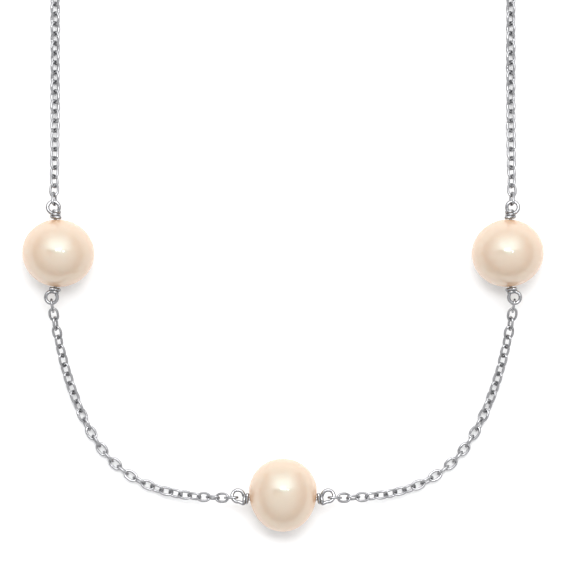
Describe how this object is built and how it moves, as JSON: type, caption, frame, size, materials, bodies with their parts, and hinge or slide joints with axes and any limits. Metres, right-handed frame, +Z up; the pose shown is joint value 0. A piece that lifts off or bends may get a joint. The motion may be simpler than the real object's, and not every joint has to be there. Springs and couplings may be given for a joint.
{
  "type": "pearl station necklace",
  "caption": "Fine cable-chain necklace with round pearls on wrapped wire stations, a lobster clasp and an end tab, laid flat and undone.",
  "frame": {"origin": "on the table, in the middle of the outline of the necklace as laid out", "axes": "+Z up from the table, +Y from the centre pearl towards the clasp along the two arms, +X towards the arm with the end tab"},
  "size_m": [0.0542, 0.1882, 0.0075],
  "materials": {
    "pearl": "lustrous nacre, peach to cream",
    "chain": "rhodium-plated silver, polished",
    "findings": "rhodium-plated silver, polished",
    "spring_steel": "plain"
  },
  "bodies": {
    "centre_wire": {"centre_wire": "findings"},
    "centre_pearl": {"centre_pearl": "pearl"},
    "left_lower_link": {"left_lower_link": "chain"},
    "left_lower_drop_1": {"left_lower_drop_1": "chain"},
    "left_lower_drop_2": {"left_lower_drop_2": "chain"},
    "left_lower_chain_01": {"left_lower_chain_01": "chain"},
    "left_lower_chain_02": {"left_lower_chain_02": "chain"},
    "left_lower_chain_03": {"left_lower_chain_03": "chain"},
    "left_wire": {"left_wire": "findings"},
    "left_pearl": {"left_pearl": "pearl"},
    "left_upper_link": {"left_upper_link": "chain"},
    "left_upper_drop_1": {"left_upper_drop_1": "chain"},
    "left_upper_drop_2": {"left_upper_drop_2": "chain"},
    "left_upper_chain_01": {"left_upper_chain_01": "chain"},
    "left_upper_chain_02": {"left_upper_chain_02": "chain"},
    "left_upper_chain_03": {"left_upper_chain_03": "chain"},
    "left_upper_chain_04": {"left_upper_chain_04": "chain"},
    "left_upper_chain_05": {"left_upper_chain_05": "chain"},
    "left_upper_chain_06": {"left_upper_chain_06": "chain"},
    "left_upper_chain_07": {"left_upper_chain_07": "chain"},
    "left_upper_chain_08": {"left_upper_chain_08": "chain"},
    "left_upper_chain_09": {"left_upper_chain_09": "chain"},
    "left_upper_chain_10": {"left_upper_chain_10": "chain"},
    "left_upper_chain_11": {"left_upper_chain_11": "chain"},
    "left_upper_chain_12": {"left_upper_chain_12": "chain"},
    "left_upper_chain_13": {"left_upper_chain_13": "chain"},
    "left_upper_chain_14": {"left_upper_chain_14": "chain"},
    "clasp_ring": {"clasp_ring": "findings"},
    "clasp": {"clasp_body": "findings", "clasp_rivet": "findings"},
    "clasp_lever": {"clasp_lever": "findings", "clasp_spring": "spring_steel"},
    "right_lower_link": {"right_lower_link": "chain"},
    "right_lower_drop_1": {"right_lower_drop_1": "chain"},
    "right_lower_drop_2": {"right_lower_drop_2": "chain"},
    "right_lower_chain_01": {"right_lower_chain_01": "chain"},
    "right_lower_chain_02": {"right_lower_chain_02": "chain"},
    "right_lower_chain_03": {"right_lower_chain_03": "chain"},
    "right_wire": {"right_wire": "findings"},
    "right_pearl": {"right_pearl": "pearl"},
    "right_upper_link": {"right_upper_link": "chain"},
    "right_upper_drop_1": {"right_upper_drop_1": "chain"},
    "right_upper_drop_2": {"right_upper_drop_2": "chain"},
    "right_upper_chain_01": {"right_upper_chain_01": "chain"},
    "right_upper_chain_02": {"right_upper_chain_02": "chain"},
    "right_upper_chain_03": {"right_upper_chain_03": "chain"},
    "right_upper_chain_04": {"right_upper_chain_04": "chain"},
    "right_upper_chain_05": {"right_upper_chain_05": "chain"},
    "right_upper_chain_06": {"right_upper_chain_06": "chain"},
    "right_upper_chain_07": {"right_upper_chain_07": "chain"},
    "right_upper_chain_08": {"right_upper_chain_08": "chain"},
    "right_upper_chain_09": {"right_upper_chain_09": "chain"},
    "right_upper_chain_10": {"right_upper_chain_10": "chain"},
    "right_upper_chain_11": {"right_upper_chain_11": "chain"},
    "right_upper_chain_12": {"right_upper_chain_12": "chain"},
    "right_upper_chain_13": {"right_upper_chain_13": "chain"},
    "right_upper_chain_14": {"right_upper_chain_14": "chain"},
    "tab_ring": {"tab_ring": "findings"},
    "end_tab": {"end_tab": "findings"}
  },
  "joints": [
    {"name": "pearl_spin_centre", "type": "hinge", "parent": "centre_wire", "child": "centre_pearl", "pos_m": [0, -0.09075, 0.00353], "axis": [1, 0, 0], "continuous": true},
    {"name": "pearl_spin_left", "type": "hinge", "parent": "left_wire", "child": "left_pearl", "pos_m": [-0.0237, -0.06515, 0.00375], "axis": [0, 1, 0], "continuous": true},
    {"name": "turn_left_01", "type": "hinge", "parent": "centre_wire", "child": "left_lower_link", "pos_m": [-0.00493, -0.09059, 0.00353], "axis": [0, 0, 1], "range_deg": [-13, 40]},
    {"name": "up_left_lower_1", "type": "hinge", "parent": "left_lower_link", "child": "left_lower_drop_1", "pos_m": [-0.00587, -0.09063, 0.00312], "axis": [-0.0738, -0.9973, 0], "range_deg": [-20, 20]},
    {"name": "up_left_lower_2", "type": "hinge", "parent": "left_lower_drop_1", "child": "left_lower_drop_2", "pos_m": [-0.00877, -0.09056, 0.00205], "axis": [0.0738, 0.9973, 0], "range_deg": [-40, 40]},
    {"name": "up_left_lower_3", "type": "hinge", "parent": "left_lower_drop_2", "child": "left_lower_chain_01", "pos_m": [-0.01172, -0.09015, 0.00125], "axis": [-0.0738, -0.9973, 0], "range_deg": [-20, 20]},
    {"name": "turn_left_02", "type": "hinge", "parent": "left_lower_chain_01", "child": "left_lower_chain_02", "pos_m": [-0.01862, -0.08604, 0.00058], "axis": [0, 0, -1], "range_deg": [-40, 13]},
    {"name": "turn_left_03", "type": "hinge", "parent": "left_lower_chain_02", "child": "left_lower_chain_03", "pos_m": [-0.02228, -0.07873, 0.00091], "axis": [0, 0, -1], "range_deg": [-40, 14]},
    {"name": "turn_left_04", "type": "hinge", "parent": "left_lower_chain_03", "child": "left_wire", "pos_m": [-0.0241, -0.07015, 0.00375], "axis": [0, 0, 1], "range_deg": [-15, 40]},
    {"name": "turn_left_05", "type": "hinge", "parent": "left_wire", "child": "left_upper_link", "pos_m": [-0.02385, -0.05995, 0.00375], "axis": [0, 0, 1], "range_deg": [-16, 40]},
    {"name": "up_left_upper_1", "type": "hinge", "parent": "left_upper_link", "child": "left_upper_drop_1", "pos_m": [-0.02385, -0.05903, 0.0033], "axis": [-1, 0, 0], "range_deg": [-20, 20]},
    {"name": "up_left_upper_2", "type": "hinge", "parent": "left_upper_drop_1", "child": "left_upper_drop_2", "pos_m": [-0.02385, -0.05621, 0.00211], "axis": [1, 0, 0], "range_deg": [-40, 40]},
    {"name": "up_left_upper_3", "type": "hinge", "parent": "left_upper_drop_2", "child": "left_upper_chain_01", "pos_m": [-0.02385, -0.05328, 0.00121], "axis": [-1, 0, 0], "range_deg": [-20, 20]},
    {"name": "turn_left_06", "type": "hinge", "parent": "left_upper_chain_01", "child": "left_upper_chain_02", "pos_m": [-0.02385, -0.04313, 0.00042], "axis": [0, 0, -1], "range_deg": [-40, 18]},
    {"name": "turn_left_07", "type": "hinge", "parent": "left_upper_chain_02", "child": "left_upper_chain_03", "pos_m": [-0.02385, -0.03292, 0.00042], "axis": [0, 0, -1], "range_deg": [-40, 19]},
    {"name": "turn_left_08", "type": "hinge", "parent": "left_upper_chain_03", "child": "left_upper_chain_04", "pos_m": [-0.02385, -0.02271, 0.00042], "axis": [0, 0, 1], "range_deg": [-21, 40]},
    {"name": "turn_left_09", "type": "hinge", "parent": "left_upper_chain_04", "child": "left_upper_chain_05", "pos_m": [-0.02385, -0.0125, 0.00042], "axis": [0, 0, 1], "range_deg": [-23, 40]},
    {"name": "turn_left_10", "type": "hinge", "parent": "left_upper_chain_05", "child": "left_upper_chain_06", "pos_m": [-0.02385, -0.00228, 0.00042], "axis": [0, 0, -1], "range_deg": [-40, 27]},
    {"name": "turn_left_11", "type": "hinge", "parent": "left_upper_chain_06", "child": "left_upper_chain_07", "pos_m": [-0.02385, 0.00793, 0.00042], "axis": [0, 0, -1], "range_deg": [-40, 30]},
    {"name": "turn_left_12", "type": "hinge", "parent": "left_upper_chain_07", "child": "left_upper_chain_08", "pos_m": [-0.02385, 0.01814, 0.00042], "axis": [0, 0, 1], "range_deg": [-35, 40]},
    {"name": "turn_left_13", "type": "hinge", "parent": "left_upper_chain_08", "child": "left_upper_chain_09", "pos_m": [-0.02385, 0.02835, 0.00042], "axis": [0, 0, 1], "range_deg": [-40, 40]},
    {"name": "turn_left_14", "type": "hinge", "parent": "left_upper_chain_09", "child": "left_upper_chain_10", "pos_m": [-0.02385, 0.03857, 0.00042], "axis": [0, 0, -1], "range_deg": [-40, 40]},
    {"name": "turn_left_15", "type": "hinge", "parent": "left_upper_chain_10", "child": "left_upper_chain_11", "pos_m": [-0.02385, 0.04776, 0.00042], "axis": [0, 0, -1], "range_deg": [-40, 40]},
    {"name": "turn_left_16", "type": "hinge", "parent": "left_upper_chain_11", "child": "left_upper_chain_12", "pos_m": [-0.02385, 0.05695, 0.00042], "axis": [0, 0, 1], "range_deg": [-40, 40]},
    {"name": "turn_left_17", "type": "hinge", "parent": "left_upper_chain_12", "child": "left_upper_chain_13", "pos_m": [-0.02385, 0.06614, 0.00042], "axis": [0, 0, 1], "range_deg": [-40, 40]},
    {"name": "turn_left_18", "type": "hinge", "parent": "left_upper_chain_13", "child": "left_upper_chain_14", "pos_m": [-0.02385, 0.07533, 0.00042], "axis": [0, 0, -1], "range_deg": [-40, 40]},
    {"name": "turn_left_19", "type": "hinge", "parent": "left_upper_chain_14", "child": "clasp_ring", "pos_m": [-0.02385, 0.08444, 0.00112], "axis": [0, 0, -1], "range_deg": [-40, 40]},
    {"name": "clasp_swing", "type": "hinge", "parent": "clasp_ring", "child": "clasp", "pos_m": [-0.02385, 0.0862, 0.00112], "axis": [0, 0, 1], "range_deg": [-60, 60]},
    {"name": "clasp_gate", "type": "hinge", "parent": "clasp", "child": "clasp_lever", "pos_m": [-0.0229, 0.0892, 0.00112], "axis": [0, 0, 1], "range_deg": [0, 25], "stiffness_Nm_per_rad": 0.002},
    {"name": "pearl_spin_right", "type": "hinge", "parent": "right_wire", "child": "right_pearl", "pos_m": [0.0237, -0.06515, 0.00375], "axis": [0, 1, 0], "continuous": true},
    {"name": "turn_right_01", "type": "hinge", "parent": "centre_wire", "child": "right_lower_link", "pos_m": [0.00493, -0.09059, 0.00353], "axis": [0, 0, -1], "range_deg": [-13, 40]},
    {"name": "up_right_lower_1", "type": "hinge", "parent": "right_lower_link", "child": "right_lower_drop_1", "pos_m": [0.00587, -0.09063, 0.00312], "axis": [-0.0738, 0.9973, 0], "range_deg": [-20, 20]},
    {"name": "up_right_lower_2", "type": "hinge", "parent": "right_lower_drop_1", "child": "right_lower_drop_2", "pos_m": [0.00877, -0.09056, 0.00205], "axis": [0.0738, -0.9973, 0], "range_deg": [-40, 40]},
    {"name": "up_right_lower_3", "type": "hinge", "parent": "right_lower_drop_2", "child": "right_lower_chain_01", "pos_m": [0.01172, -0.09015, 0.00125], "axis": [-0.0738, 0.9973, 0], "range_deg": [-20, 20]},
    {"name": "turn_right_02", "type": "hinge", "parent": "right_lower_chain_01", "child": "right_lower_chain_02", "pos_m": [0.01862, -0.08604, 0.00058], "axis": [0, 0, 1], "range_deg": [-40, 13]},
    {"name": "turn_right_03", "type": "hinge", "parent": "right_lower_chain_02", "child": "right_lower_chain_03", "pos_m": [0.02228, -0.07873, 0.00091], "axis": [0, 0, 1], "range_deg": [-40, 14]},
    {"name": "turn_right_04", "type": "hinge", "parent": "right_lower_chain_03", "child": "right_wire", "pos_m": [0.0241, -0.07015, 0.00375], "axis": [0, 0, -1], "range_deg": [-15, 40]},
    {"name": "turn_right_05", "type": "hinge", "parent": "right_wire", "child": "right_upper_link", "pos_m": [0.02385, -0.05995, 0.00375], "axis": [0, 0, -1], "range_deg": [-16, 40]},
    {"name": "up_right_upper_1", "type": "hinge", "parent": "right_upper_link", "child": "right_upper_drop_1", "pos_m": [0.02385, -0.05903, 0.0033], "axis": [-1, 0, 0], "range_deg": [-20, 20]},
    {"name": "up_right_upper_2", "type": "hinge", "parent": "right_upper_drop_1", "child": "right_upper_drop_2", "pos_m": [0.02385, -0.05621, 0.00211], "axis": [1, 0, 0], "range_deg": [-40, 40]},
    {"name": "up_right_upper_3", "type": "hinge", "parent": "right_upper_drop_2", "child": "right_upper_chain_01", "pos_m": [0.02385, -0.05328, 0.00121], "axis": [-1, 0, 0], "range_deg": [-20, 20]},
    {"name": "turn_right_06", "type": "hinge", "parent": "right_upper_chain_01", "child": "right_upper_chain_02", "pos_m": [0.02385, -0.04313, 0.00042], "axis": [0, 0, 1], "range_deg": [-40, 18]},
    {"name": "turn_right_07", "type": "hinge", "parent": "right_upper_chain_02", "child": "right_upper_chain_03", "pos_m": [0.02385, -0.03292, 0.00042], "axis": [0, 0, 1], "range_deg": [-40, 19]},
    {"name": "turn_right_08", "type": "hinge", "parent": "right_upper_chain_03", "child": "right_upper_chain_04", "pos_m": [0.02385, -0.02271, 0.00042], "axis": [0, 0, -1], "range_deg": [-21, 40]},
    {"name": "turn_right_09", "type": "hinge", "parent": "right_upper_chain_04", "child": "right_upper_chain_05", "pos_m": [0.02385, -0.0125, 0.00042], "axis": [0, 0, -1], "range_deg": [-23, 40]},
    {"name": "turn_right_10", "type": "hinge", "parent": "right_upper_chain_05", "child": "right_upper_chain_06", "pos_m": [0.02385, -0.00228, 0.00042], "axis": [0, 0, 1], "range_deg": [-40, 27]},
    {"name": "turn_right_11", "type": "hinge", "parent": "right_upper_chain_06", "child": "right_upper_chain_07", "pos_m": [0.02385, 0.00793, 0.00042], "axis": [0, 0, 1], "range_deg": [-40, 30]},
    {"name": "turn_right_12", "type": "hinge", "parent": "right_upper_chain_07", "child": "right_upper_chain_08", "pos_m": [0.02385, 0.01814, 0.00042], "axis": [0, 0, -1], "range_deg": [-35, 40]},
    {"name": "turn_right_13", "type": "hinge", "parent": "right_upper_chain_08", "child": "right_upper_chain_09", "pos_m": [0.02385, 0.02835, 0.00042], "axis": [0, 0, -1], "range_deg": [-40, 40]},
    {"name": "turn_right_14", "type": "hinge", "parent": "right_upper_chain_09", "child": "right_upper_chain_10", "pos_m": [0.02385, 0.03857, 0.00042], "axis": [0, 0, 1], "range_deg": [-40, 40]},
    {"name": "turn_right_15", "type": "hinge", "parent": "right_upper_chain_10", "child": "right_upper_chain_11", "pos_m": [0.02385, 0.04776, 0.00042], "axis": [0, 0, 1], "range_deg": [-40, 40]},
    {"name": "turn_right_16", "type": "hinge", "parent": "right_upper_chain_11", "child": "right_upper_chain_12", "pos_m": [0.02385, 0.05695, 0.00042], "axis": [0, 0, -1], "range_deg": [-40, 40]},
    {"name": "turn_right_17", "type": "hinge", "parent": "right_upper_chain_12", "child": "right_upper_chain_13", "pos_m": [0.02385, 0.06614, 0.00042], "axis": [0, 0, -1], "range_deg": [-40, 40]},
    {"name": "turn_right_18", "type": "hinge", "parent": "right_upper_chain_13", "child": "right_upper_chain_14", "pos_m": [0.02385, 0.07533, 0.00042], "axis": [0, 0, 1], "range_deg": [-40, 40]},
    {"name": "turn_right_19", "type": "hinge", "parent": "right_upper_chain_14", "child": "tab_ring", "pos_m": [0.02385, 0.08444, 0.00112], "axis": [0, 0, 1], "range_deg": [-40, 40]},
    {"name": "end_tab_swing", "type": "hinge", "parent": "tab_ring", "child": "end_tab", "pos_m": [0.02385, 0.08631, 0.00112], "axis": [0, -0.1351, -0.9908], "range_deg": [-60, 60]}
  ]
}
